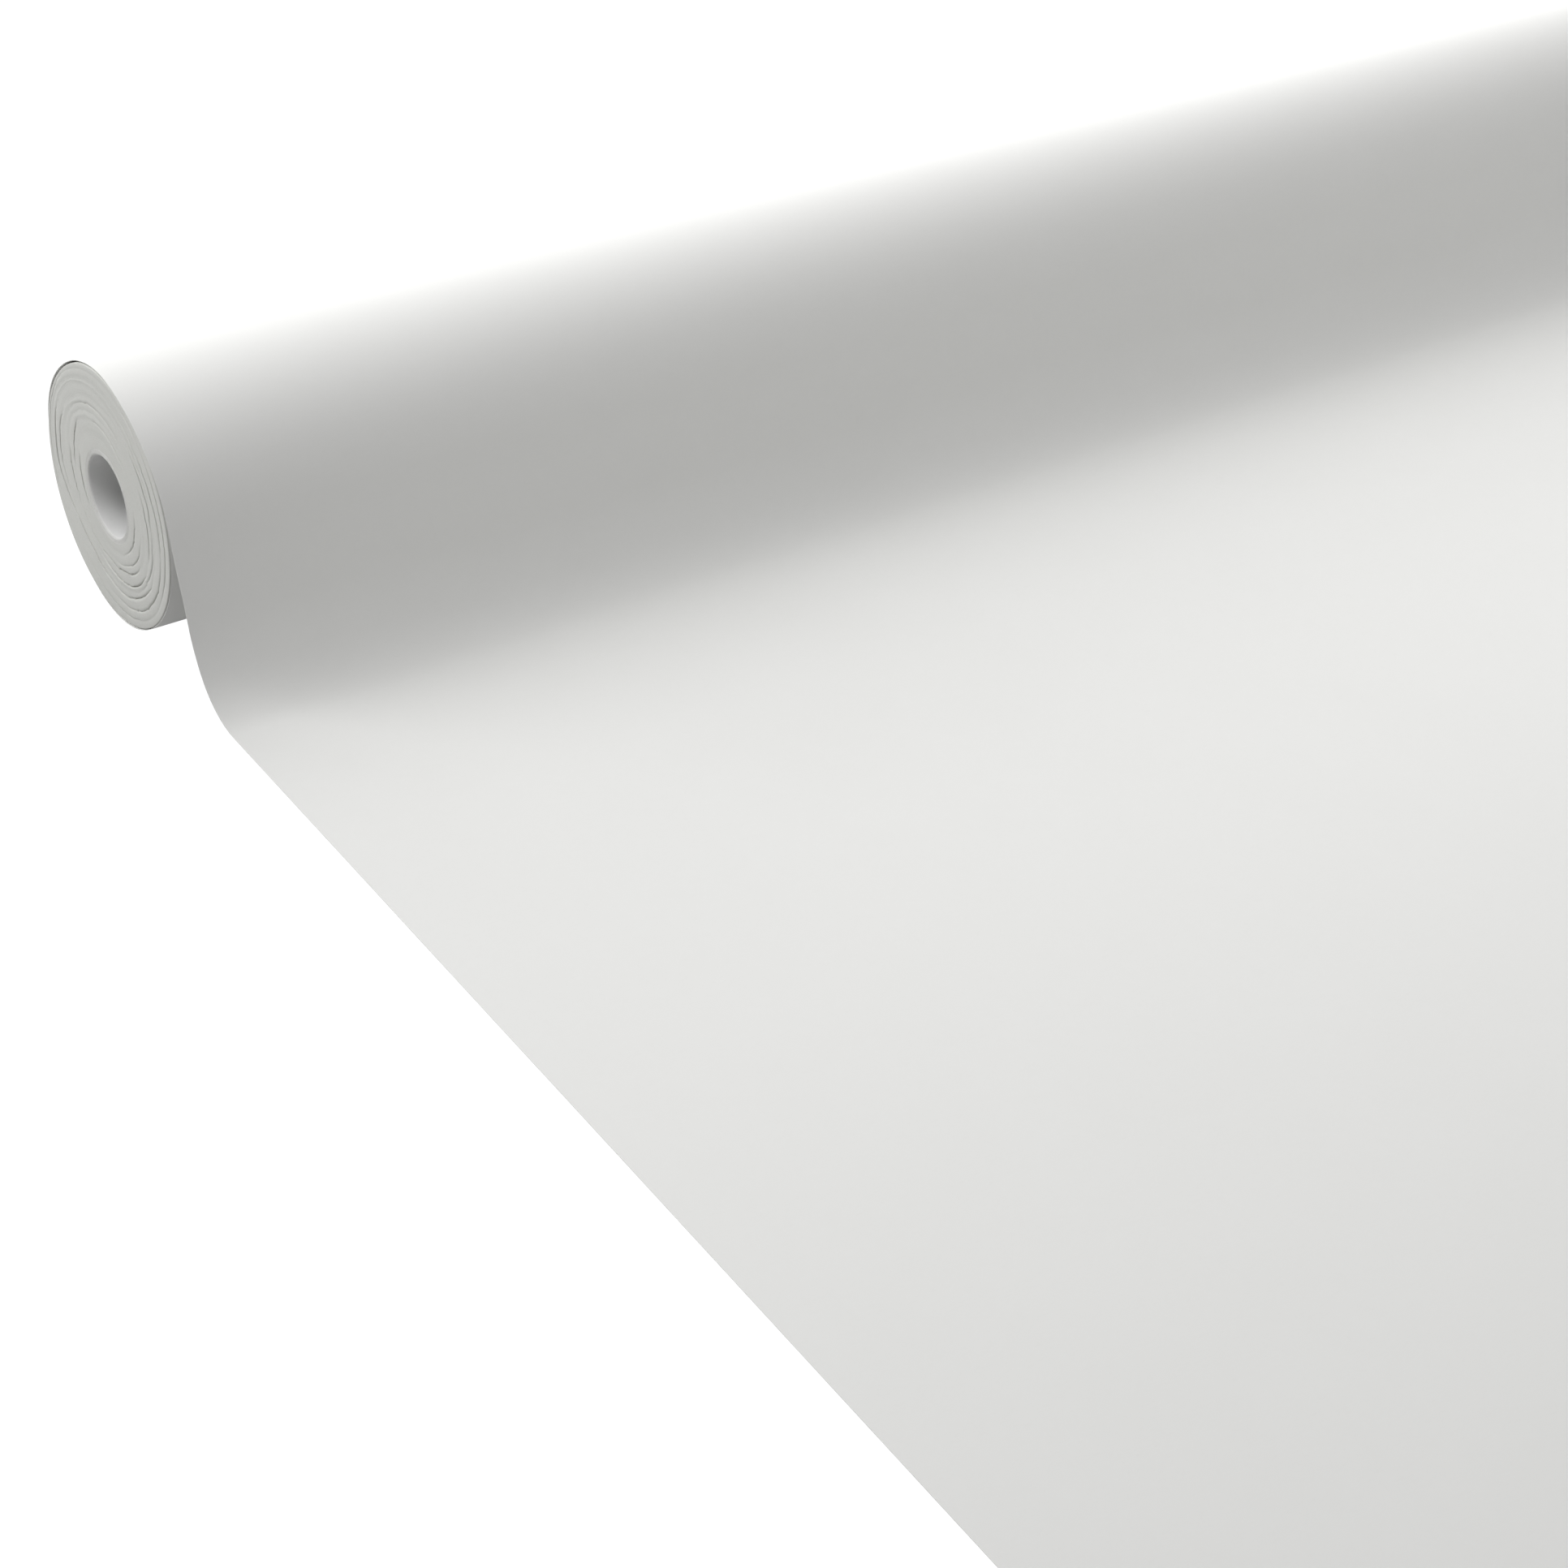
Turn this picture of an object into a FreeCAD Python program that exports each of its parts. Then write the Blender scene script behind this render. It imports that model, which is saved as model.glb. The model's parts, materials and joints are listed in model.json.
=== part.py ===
"""Seamless backdrop paper roll, lying on the floor with its leading sheet drawn out.

Frame: millimetres, +Z up. The origin is the middle of the core's axis. X runs along the
roll, and the paper comes off the top of the roll and runs forward along -Y on the floor.
"""

import FreeCAD, Part
import math
import os

Vector = FreeCAD.Vector

# Driving sizes ------------------------------------------------------------------------

web_width = 1350.0          # the paper's width, and so the roll's length
web_thickness = 0.3         # heavy matt backdrop paper
roll_diameter = 166.0       # over the outermost turn
running_gap = 0.5           # air between the outermost turn and the turns below it

core_bore_diameter = 51.0   # takes a two-inch crossbar or an expanding plug
core_overhang = 0.0         # how far each end of the core stands out of the paper
liner_thickness = 0.4       # smooth paper lining of the bore
board_ply_thickness = 0.55
board_ply_count = 6
wrap_thickness = 0.3        # white paper wound over the board

tape_width = 12.0           # double-sided tape strips that hold the web's first edge
tape_length = 120.0
tape_thickness = 0.1
tape_bearing = 180.0        # where the strips lie round the core, from its top
tape_end_margin = 30.0      # bare core between the outer strips and the web's side edges

tuck_angle = 20.0           # where the outermost turn begins, above the roll's front
lift_heading = 10.0         # the paper starts to stand off the roll, just past its top
shoulder_radius = 90.5      # bend over the front of the roll
fall_heading = 74.0         # steepest slope of the falling paper
shin_radius = 96.0          # first, open part of the bend towards the floor
shin_heading = 52.5         # slope at which that bend tightens
toe_radius = 47.5           # last part of the bend, down to the floor
sheet_reach = 1080.0        # from the core's axis to the leading edge
leading_strip = 20.0        # length of the leading edge that a hand or a clamp takes

# Sizes that follow --------------------------------------------------------------------

roll_radius = roll_diameter / 2
floor_level = -roll_radius
pack_radius = roll_radius - web_thickness - running_gap
bore_radius = core_bore_diameter / 2
board_radius = bore_radius + liner_thickness
wrap_radius = board_radius + board_ply_count * board_ply_thickness
core_radius = wrap_radius + wrap_thickness
core_length = web_width + 2 * core_overhang
tape_spacing = web_width / 2 - tape_end_margin - tape_length / 2


def cosine(degrees):
    """Cosine of an angle in degrees."""
    return math.cos(math.radians(degrees))


def sine(degrees):
    """Sine of an angle in degrees."""
    return math.sin(math.radians(degrees))


def outward(heading):
    """Unit normal of the paper's upper face; a heading of 0 is level, 90 is straight down."""
    return Vector(0, -sine(heading), cosine(heading))


def forward(heading):
    """Unit direction in which the paper travels at a heading."""
    return Vector(0, -cosine(heading), -sine(heading))


def tube(inner_radius, outer_radius, length):
    """A plain tube about the core's axis, centred on the origin."""
    base = Vector(-length / 2, 0, 0)
    along = Vector(1, 0, 0)
    outside = Part.makeCylinder(outer_radius, length, base, along)
    inside = Part.makeCylinder(inner_radius, length, base, along)
    return outside.cut(inside)


class PaperRun:
    """A stretch of the web, drawn by its upper face from bend to straight to bend."""

    def __init__(self, start, heading):
        """Start at a point of the upper face, travelling at a heading."""
        self.point = start
        self.heading = heading
        self.upper = []
        self.under = []
        self.first_end = [start, self.below(start, heading)]

    def below(self, point, heading):
        """The underside's point opposite a point of the upper face."""
        return point - outward(heading) * web_thickness

    def bend(self, radius, heading_out):
        """Turn to another heading on an arc whose radius is the upper face's."""
        side = 1 if heading_out > self.heading else -1
        centre = self.point - outward(self.heading) * (side * radius)
        headings = [self.heading, (self.heading + heading_out) / 2, heading_out]
        upper = [centre + outward(h) * (side * radius) for h in headings]
        under = [self.below(p, h) for p, h in zip(upper, headings)]
        self.upper.append(Part.Arc(*upper).toShape())
        self.under.append(Part.Arc(*under).toShape())
        self.point = upper[2]
        self.heading = heading_out

    def straight(self, length):
        """Go straight on for a length."""
        end = self.point + forward(self.heading) * length
        low_start = self.below(self.point, self.heading)
        low_end = self.below(end, self.heading)
        self.upper.append(Part.LineSegment(self.point, end).toShape())
        self.under.append(Part.LineSegment(low_start, low_end).toShape())
        self.point = end

    def solid(self):
        """The stretch at full width, as one solid."""
        last_end = [self.point, self.below(self.point, self.heading)]
        closing = [Part.LineSegment(*self.first_end), Part.LineSegment(*last_end)]
        edges = self.upper + self.under + [line.toShape() for line in closing]
        outline = Part.Wire(Part.__sortEdges__(edges))
        outline.translate(Vector(-web_width / 2, 0, 0))
        return Part.Face(outline).extrude(Vector(web_width, 0, 0))


def fall_length():
    """Straight length that brings the falling paper down to the floor between its bends."""
    height = roll_radius * cosine(lift_heading) - (floor_level + web_thickness)
    shoulder = shoulder_radius * (cosine(lift_heading) - cosine(fall_heading))
    shin = shin_radius * (cosine(shin_heading) - cosine(fall_heading))
    toe = toe_radius * (1 - cosine(shin_heading))
    return (height - shoulder - shin - toe) / sine(fall_heading)


def make_core():
    """The spiral-wound board core, ply by ply, from the bore outwards."""
    nodes = {"core_liner": tube(bore_radius, board_radius, core_length)}
    for ply in range(board_ply_count):
        inner = board_radius + ply * board_ply_thickness
        ring = tube(inner, inner + board_ply_thickness, core_length)
        nodes["core_ply_%d" % (ply + 1)] = ring
    nodes["core_wrap"] = tube(wrap_radius, core_radius, core_length)
    return nodes


def make_tapes():
    """The double-sided tape strips along the core, under the first turn of paper."""
    nodes = {}
    spread = math.degrees(tape_width / core_radius)
    centre = Vector(0, 0, 0)
    along = Vector(1, 0, 0)
    for strip in range(3):
        base = Vector((strip - 1) * tape_spacing - tape_length / 2, 0, 0)
        outside = Part.makeCylinder(core_radius + tape_thickness, tape_length, base, along, spread)
        inside = Part.makeCylinder(core_radius, tape_length, base, along, spread)
        tape = outside.cut(inside)
        tape.rotate(centre, along, tape_bearing - spread / 2)
        nodes["start_tape_%d" % (strip + 1)] = tape
    return nodes


def make_wound_paper(tapes):
    """All the turns that stay on the roll, pressed round the core and its tape strips."""
    return tube(core_radius, pack_radius, web_width).cut(Part.makeCompound(tapes))


def make_web():
    """The web that has left the turns below it, from the outermost turn to its edge."""
    nodes = {}
    first_heading = 90.0 - tuck_angle - 360.0
    turn = PaperRun(outward(first_heading) * roll_radius, first_heading)
    turn.bend(roll_radius, lift_heading)
    nodes["outer_turn"] = turn.solid()

    shoulder = PaperRun(turn.point, turn.heading)
    shoulder.bend(shoulder_radius, fall_heading)
    nodes["shoulder_bend"] = shoulder.solid()

    fall = PaperRun(shoulder.point, shoulder.heading)
    fall.straight(fall_length())
    nodes["falling_sheet"] = fall.solid()

    foot = PaperRun(fall.point, fall.heading)
    foot.bend(shin_radius, shin_heading)
    foot.bend(toe_radius, 0.0)
    nodes["floor_bend"] = foot.solid()

    flat = PaperRun(foot.point, foot.heading)
    flat.straight(sheet_reach - leading_strip + foot.point.y)
    nodes["floor_sheet"] = flat.solid()

    edge = PaperRun(flat.point, flat.heading)
    edge.straight(leading_strip)
    nodes["leading_edge"] = edge.solid()
    return nodes


def main():
    """Build every node and write one STEP file for each."""
    nodes = make_core()
    tapes = make_tapes()
    nodes.update(tapes)
    nodes["wound_paper"] = make_wound_paper(list(tapes.values()))
    nodes.update(make_web())
    os.makedirs("parts", exist_ok=True)
    for name, shape in nodes.items():
        shape.exportStep("parts/%s.step" % name)
        box = shape.BoundBox
        print("%-14s solids %d  valid %s  volume %.0f mm3  y %.1f..%.1f  z %.1f..%.1f" % (
            name, len(shape.Solids), shape.isValid(), shape.Volume,
            box.YMin, box.YMax, box.ZMin, box.ZMax))


main()
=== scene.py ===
"""Looks of a seamless backdrop paper roll whose leading sheet is drawn out over the floor.

Everything is in metres in the part's own frame: the origin is the middle of the core's axis,
X runs along the roll, the paper comes off the top and runs forward along -Y, and +Z is up.
"""

import json
import logging
import math
from dataclasses import dataclass, field
from enum import Enum

import bpy
import numpy as np
from mathutils import Matrix, Vector


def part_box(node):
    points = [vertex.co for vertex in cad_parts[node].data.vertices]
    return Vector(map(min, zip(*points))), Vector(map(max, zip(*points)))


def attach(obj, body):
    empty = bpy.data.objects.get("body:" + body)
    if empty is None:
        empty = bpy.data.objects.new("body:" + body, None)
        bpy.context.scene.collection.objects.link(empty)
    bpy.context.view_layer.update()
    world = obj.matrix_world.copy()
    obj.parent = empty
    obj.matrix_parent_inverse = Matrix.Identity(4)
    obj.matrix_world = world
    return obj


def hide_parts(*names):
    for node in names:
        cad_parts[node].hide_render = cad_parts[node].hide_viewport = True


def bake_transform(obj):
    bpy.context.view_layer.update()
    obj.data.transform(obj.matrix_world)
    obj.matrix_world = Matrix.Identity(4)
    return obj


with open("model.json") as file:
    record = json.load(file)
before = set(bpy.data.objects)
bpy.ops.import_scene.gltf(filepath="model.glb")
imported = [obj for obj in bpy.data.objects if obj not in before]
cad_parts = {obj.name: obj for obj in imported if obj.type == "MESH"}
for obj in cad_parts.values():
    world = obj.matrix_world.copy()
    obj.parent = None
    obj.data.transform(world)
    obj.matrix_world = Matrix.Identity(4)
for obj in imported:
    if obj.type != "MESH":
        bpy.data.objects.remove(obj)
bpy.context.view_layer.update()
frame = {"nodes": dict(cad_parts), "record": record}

log = logging.getLogger("backdrop_roll")
MM = 0.001
SMALL = 1e-6
WHITE = (1.0, 1.0, 1.0, 1.0)
# Name of the point attribute that holds the painted shade in the grooves of the end faces.
PAINTED_GAP_SHADE = "painted_gap_shade"


class RollEnd(Enum):
    """The two ends of the roll, by the sign of X that each one faces."""

    LEFT = -1
    RIGHT = 1


# Measures ------------------------------------------------------------------------------


@dataclass(frozen=True)
class RollSizes:
    """The sizes that every piece is built to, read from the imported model."""

    left: float
    right: float
    floor: float
    roll_radius: float
    pack_radius: float
    core_radius: float
    bore_radius: float
    paper_thickness: float
    reach: float
    strip_start: float

    @classmethod
    def from_frame(cls) -> "RollSizes":
        """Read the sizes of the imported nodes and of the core's bore.

        Returns:
            The sizes in metres.
        """
        sheet_low, sheet_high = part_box("floor_sheet")
        edge_low, edge_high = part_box("leading_edge")
        bore = next(m for m in frame["record"]["mounts"] if m["name"] == "core_bore")
        return cls(
            left=sheet_low.x,
            right=sheet_high.x,
            floor=sheet_low.z,
            roll_radius=outer_radius("outer_turn"),
            pack_radius=outer_radius("wound_paper"),
            core_radius=outer_radius("core_wrap"),
            bore_radius=bore["dims"]["r_mm"] * MM,
            paper_thickness=sheet_high.z - sheet_low.z,
            reach=-edge_low.y,
            strip_start=-edge_high.y,
        )

    @property
    def width(self) -> float:
        """The paper's width, which is the roll's length."""
        return self.right - self.left


def outer_radius(node: str) -> float:
    """Largest distance of a round node's surface from the core's axis.

    Args:
        node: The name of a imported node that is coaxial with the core.

    Returns:
        The radius in metres.
    """
    return max(math.hypot(v.co.y, v.co.z) for v in frame["nodes"][node].data.vertices)


# Meshes --------------------------------------------------------------------------------


def mesh_object(name: str, vertices: np.ndarray, faces: np.ndarray, sharp: float) -> bpy.types.Object:
    """Make a smooth-shaded mesh object, turned so that its faces look outwards.

    Args:
        name: The piece's name.
        vertices: Points, one row each, in metres.
        faces: Four vertex numbers for each face of a closed surface.
        sharp: Angle in degrees above which an edge stays crisp.

    Returns:
        The new object, linked to the scene.
    """
    corners = vertices[faces]
    normal = np.cross(corners[:, 2] - corners[:, 0], corners[:, 3] - corners[:, 1])
    if np.einsum("ij,ij->", corners.mean(axis=1), normal) < 0:
        faces = faces[:, ::-1]
    mesh = bpy.data.meshes.new(name)
    mesh.from_pydata(vertices.tolist(), [], faces.tolist())
    mesh.polygons.foreach_set("use_smooth", np.ones(len(faces), bool))
    mesh.set_sharp_from_angle(angle=math.radians(sharp))
    mesh.update()
    made = bpy.data.objects.new(name, mesh)
    bpy.context.scene.collection.objects.link(made)
    return made


def grid_faces(numbers: np.ndarray, wrap_rows: bool = False, wrap_columns: bool = False) -> np.ndarray:
    """List the four-sided faces of a grid of vertex numbers.

    Args:
        numbers: The grid, as a table of vertex numbers.
        wrap_rows: Whether the last row joins the first.
        wrap_columns: Whether the last column joins the first.

    Returns:
        One row of four vertex numbers for each face.
    """
    if wrap_rows:
        numbers = np.vstack([numbers, numbers[:1]])
    if wrap_columns:
        numbers = np.hstack([numbers, numbers[:, :1]])
    faces = [numbers[:-1, :-1], numbers[1:, :-1], numbers[1:, 1:], numbers[:-1, 1:]]
    return np.stack([f.ravel() for f in faces], axis=1)


def waves(rng: np.random.Generator, count: int, longest: float, shortest: float) -> np.ndarray:
    """Draw random plane waves for a gentle unevenness.

    Args:
        rng: The seeded source of random numbers.
        count: How many waves.
        longest: Longest wavelength in metres.
        shortest: Shortest wavelength in metres.

    Returns:
        One row for each wave: its two wave numbers, its phase and its share of the height.
    """
    length = np.exp(rng.uniform(math.log(shortest), math.log(longest), count))
    bearing = rng.uniform(0, math.pi, count)
    phase = rng.uniform(0, 2 * math.pi, count)
    share = length / length.sum()
    turn = 2 * math.pi / length
    return np.stack([turn * np.cos(bearing), turn * np.sin(bearing), phase, share], axis=1)


def wave_height(table: np.ndarray, u: np.ndarray, v: np.ndarray) -> np.ndarray:
    """Add up plane waves at points of a surface.

    Args:
        table: Waves from waves().
        u: First coordinate of each point, in metres.
        v: Second coordinate of each point, in metres.

    Returns:
        Heights between about -1 and 1.
    """
    total = np.zeros(np.broadcast(u, v).shape)
    for wave_u, wave_v, phase, share in table:
        total += share * np.sin(wave_u * u + wave_v * v + phase)
    return total


def ease(value: np.ndarray) -> np.ndarray:
    """Smooth a ramp from 0 to 1, level at both ends."""
    held = np.clip(value, 0, 1)
    return held * held * (3 - 2 * held)


def swell(bearing: np.ndarray, place: tuple[float, float, float]) -> np.ndarray:
    """A soft bump round an axis.

    Args:
        bearing: Bearings in radians.
        place: The bump's bearing and spread in degrees, and its height.

    Returns:
        The height at each bearing.
    """
    centre, spread, height = place
    turn = np.angle(np.exp(1j * (bearing - math.radians(centre))))
    return height * ease(1.0 - np.abs(turn) / math.radians(spread))


# The drawn sheet -----------------------------------------------------------------------


@dataclass(frozen=True)
class PaperPath:
    """The web's way from the outermost turn to its edge, as bends and straights.

    A heading is the slope in degrees at which the paper travels: 0 is level and forward.
    """

    tuck_angle: float = 20.0
    lift_heading: float = 10.0
    shoulder_radius: float = 90.5 * MM
    fall_heading: float = 74.0
    shin_radius: float = 96.0 * MM
    shin_heading: float = 52.5
    toe_radius: float = 47.5 * MM
    bend_step: float = 2.0
    straight_step: float = 9.0 * MM

    def stations(self, sizes: RollSizes) -> dict[str, np.ndarray]:
        """Walk the path and note where its upper face is.

        Args:
            sizes: The roll's sizes.

        Returns:
            Arrays "y", "z", "heading" and "along", the length walked, one value each station.
        """
        walked = [(0.0, 0.0, 90.0 - self.tuck_angle - 360.0, 0.0)]
        self._bend(walked, sizes.roll_radius, self.lift_heading, start_on=sizes.roll_radius)
        self._bend(walked, self.shoulder_radius, self.fall_heading)
        self._straight(walked, self._fall_length(sizes))
        self._bend(walked, self.shin_radius, self.shin_heading)
        self._bend(walked, self.toe_radius, 0.0)
        self._straight(walked, sizes.reach + walked[-1][0])
        table = np.array(walked).T
        return dict(zip(("y", "z", "heading", "along"), table))

    def _fall_length(self, sizes: RollSizes) -> float:
        """Find the length of the steep straight part, so that the toe ends on the floor.

        Args:
            sizes: The roll's sizes.

        Returns:
            The length in metres.
        """
        def cosine(angle: float) -> float:
            """Cosine of an angle in degrees."""
            return math.cos(math.radians(angle))

        top = sizes.roll_radius * cosine(self.lift_heading)
        height = top - sizes.floor - sizes.paper_thickness
        height -= self.shoulder_radius * (cosine(self.lift_heading) - cosine(self.fall_heading))
        height -= self.shin_radius * (cosine(self.shin_heading) - cosine(self.fall_heading))
        height -= self.toe_radius * (1 - cosine(self.shin_heading))
        return height / math.sin(math.radians(self.fall_heading))

    def _bend(self, walked: list, radius: float, heading_out: float, start_on: float = 0.0) -> None:
        """Add the stations of an arc.

        Args:
            walked: The stations so far, which grow.
            radius: Radius of the upper face.
            heading_out: Heading at the arc's end.
            start_on: Radius of the circle about the axis on which the first station lies.
        """
        y, z, heading, along = walked[-1]
        if start_on:
            angle = math.radians(heading)
            y, z = -start_on * math.sin(angle), start_on * math.cos(angle)
            walked[-1] = (y, z, heading, along)
        side = 1 if heading_out > heading else -1
        first = math.radians(heading)
        centre_y = y + side * radius * math.sin(first)
        centre_z = z - side * radius * math.cos(first)
        steps = math.ceil(abs(heading_out - heading) / self.bend_step)
        for share in np.linspace(0, 1, steps + 1)[1:]:
            now = heading + share * (heading_out - heading)
            angle = math.radians(now)
            arc = radius * abs(angle - first)
            at_y = centre_y - side * radius * math.sin(angle)
            at_z = centre_z + side * radius * math.cos(angle)
            walked.append((at_y, at_z, now, along + arc))

    def _straight(self, walked: list, length: float) -> None:
        """Add the stations of a straight stretch.

        Args:
            walked: The stations so far, which grow.
            length: Length of the stretch in metres.
        """
        y, z, heading, along = walked[-1]
        angle = math.radians(heading)
        steps = math.ceil(length / self.straight_step)
        for share in np.linspace(0, 1, steps + 1)[1:]:
            gone = share * length
            at_y = y - gone * math.cos(angle)
            at_z = z - gone * math.sin(angle)
            walked.append((at_y, at_z, heading, along + gone))


@dataclass
class DrawnSheet:
    """The web from the outermost turn to its leading edge, as one thin closed sheet.

    Attributes:
        sizes: The roll's sizes.
        path: The web's way to the floor.
        columns: Points across the width.
        seed: Seed of the unevenness.
        cockle_height: Height of the unevenness in metres.
        cockle_waves: How many waves make it.
        cockle_lengths: Their longest and shortest wavelength in metres.
        cockle_start: How far in front of the axis it begins, in metres.
        cockle_ramp: Length over which it comes in, and goes down again at the leading edge.
        edge_cockle: How much of it is left at the leading edge, 0 to 1.
        back_lift: Bearing and spread in degrees of the outermost turn's lift, and its height.
        tuck_run: Degrees of heading over which the outermost turn leaves the pack.
        tuck_gap: Air left under its first edge.
        shift: How far the web stands to one side over the roll's front.
        shift_headings: Headings at which that shift begins and is full.
        shift_run: Length of web below the front in which the shift dies away.
        shift_spots: Bearing and spread of its places under the roll and at the back, and its share.
    """

    sizes: RollSizes
    path: PaperPath = field(default_factory=PaperPath)
    columns: int = 150
    seed: int = 11
    cockle_height: float = 0.30 * MM
    cockle_waves: int = 9
    cockle_lengths: tuple[float, float] = (0.55, 0.16)
    cockle_start: float = 0.085
    cockle_ramp: float = 0.05
    edge_cockle: float = 0.35
    back_lift: tuple[float, float, float] = (130.0, 36.0, 0.15 * MM)
    tuck_run: float = 70.0
    tuck_gap: float = 0.08 * MM
    shift: float = -1.3 * MM
    shift_headings: tuple[float, float] = (-10.0, 25.0)
    shift_run: float = 55 * MM
    shift_spots: tuple[tuple[float, float, float], ...] = ((288.0, 66.0, 1.0), (150.0, 38.0, 0.9))

    def build(self) -> bpy.types.Object:
        """Make the sheet's mesh, hide the imported nodes that it replaces and bake its place into its
        mesh.

        Returns:
            The sheet.
        """
        sizes = self.sizes
        at = self.path.stations(sizes)
        rng = np.random.default_rng(self.seed)
        across = np.linspace(sizes.left, sizes.right, self.columns)
        angle = np.radians(at["heading"])[:, None]
        lift = self._cockle(rng, at, across) + self._turn_lift(at)[:, None]
        out_y, out_z = -np.sin(angle), np.cos(angle)
        faces = []
        for depth in (0.0, sizes.paper_thickness):
            y = at["y"][:, None] + out_y * (lift - depth)
            z = at["z"][:, None] + out_z * (lift - depth)
            x = across[None, :] + self._sideways(at)[:, None]
            faces.append(np.stack([x, y, z], axis=2))
        upper, under = faces
        under[..., 2] = np.maximum(under[..., 2], sizes.floor)
        count = upper.shape[0] * upper.shape[1]
        top = np.arange(count).reshape(upper.shape[:2])
        low = top + count
        table = [grid_faces(top), grid_faces(low)[:, ::-1]]
        for strip in (
            np.stack([top[:, 0], low[:, 0]], axis=1)[:, ::-1],
            np.stack([top[:, -1], low[:, -1]], axis=1),
            np.stack([top[0], low[0]], axis=1),
            np.stack([top[-1], low[-1]], axis=1)[:, ::-1],
        ):
            table.append(grid_faces(strip))
        vertices = np.vstack([upper.reshape(-1, 3), under.reshape(-1, 3)])
        made = mesh_object("drawn_sheet", vertices, np.vstack(table), sharp=50.0)
        self._bind(made)
        return made

    def _sideways(self, at: dict[str, np.ndarray]) -> np.ndarray:
        """Find how far the web stands to one side: over the front and at its spots only.

        Args:
            at: The path's stations.

        Returns:
            The shift along X at each station, in metres.
        """
        first, full = self.shift_headings
        steepest = np.argmax(at["heading"] >= self.path.fall_heading - SMALL)
        walked = at["along"] - at["along"][steepest]
        over = ease((at["heading"] - first) / (full - first)) * (1.0 - ease(walked / self.shift_run))
        for spot in self.shift_spots:
            over = np.maximum(over, swell(np.radians(90.0 - at["heading"]), spot))
        return self.shift * over

    def _cockle(
        self, rng: np.random.Generator, at: dict[str, np.ndarray], across: np.ndarray
    ) -> np.ndarray:
        """Make the paper's slight unevenness, which is nil round the roll.

        Args:
            rng: The seeded source of random numbers.
            at: The path's stations.
            across: Places across the width, in metres.

        Returns:
            Heights in metres, a row for each station.
        """
        table = waves(rng, self.cockle_waves, *self.cockle_lengths)
        along = at["along"][:, None]
        height = 0.5 + 0.5 * wave_height(table, across[None, :], along)
        free = ease((-at["y"] - self.cockle_start) / self.cockle_ramp)[:, None]
        end = ease((self.sizes.reach + at["y"]) / self.cockle_ramp)[:, None]
        kept = self.edge_cockle + (1.0 - self.edge_cockle) * end
        return self.cockle_height * height * free * kept

    def _turn_lift(self, at: dict[str, np.ndarray]) -> np.ndarray:
        """Find how far the outermost turn is from its circle: in where it begins, off at the back.

        Args:
            at: The path's stations.

        Returns:
            The distance outwards at each station, in metres.
        """
        sizes = self.sizes
        heading = at["heading"]
        gap = sizes.roll_radius - sizes.paper_thickness - sizes.pack_radius - self.tuck_gap
        tucked = -gap * (1.0 - ease((heading - heading[0]) / self.tuck_run))
        lifted = swell(np.radians(90.0 - heading), self.back_lift)
        return np.where(heading <= self.path.lift_heading, tucked + lifted, 0.0)

    def _bind(self, made: bpy.types.Object) -> None:
        """Hide the imported nodes that the sheet replaces, and bake its place into its mesh.

        Args:
            made: The sheet.
        """
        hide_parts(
            "outer_turn",
            "shoulder_bend",
            "falling_sheet",
            "floor_bend",
            "floor_sheet",
            "leading_edge",
        )
        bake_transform(made)


# The wound paper -----------------------------------------------------------------------


@dataclass(frozen=True)
class Groove:
    """A fine gap between two groups of turns, seen as a line on an end face: a real groove, darkened
    further with painted shade.

    Attributes:
        run: Bearings in degrees and its place there, between the core, 0, and the rim, 1.
        spans: Where it opens: bearing and spread in degrees, and depth in millimetres.
        half_width: Half its width, in millimetres.
        jag: Height of its small kinks, in millimetres.
    """

    run: tuple[tuple[float, float], ...]
    spans: tuple[tuple[float, float, float], ...]
    half_width: float = 0.75
    jag: float = 0.28

    def place(self, bearing: np.ndarray) -> np.ndarray:
        """Its place between the core and the rim at each bearing in radians."""
        bearings, shares = zip(*sorted(self.run))
        return np.interp(np.degrees(bearing), bearings, shares, period=360.0)

    def depth(self, bearing: np.ndarray) -> np.ndarray:
        """Find how deep the gap is round the end face.

        Args:
            bearing: Bearings in radians.

        Returns:
            The depth at each bearing, in metres.
        """
        total = np.zeros_like(bearing)
        for span in self.spans:
            total = np.maximum(total, swell(bearing, span))
        return total * MM


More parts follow.
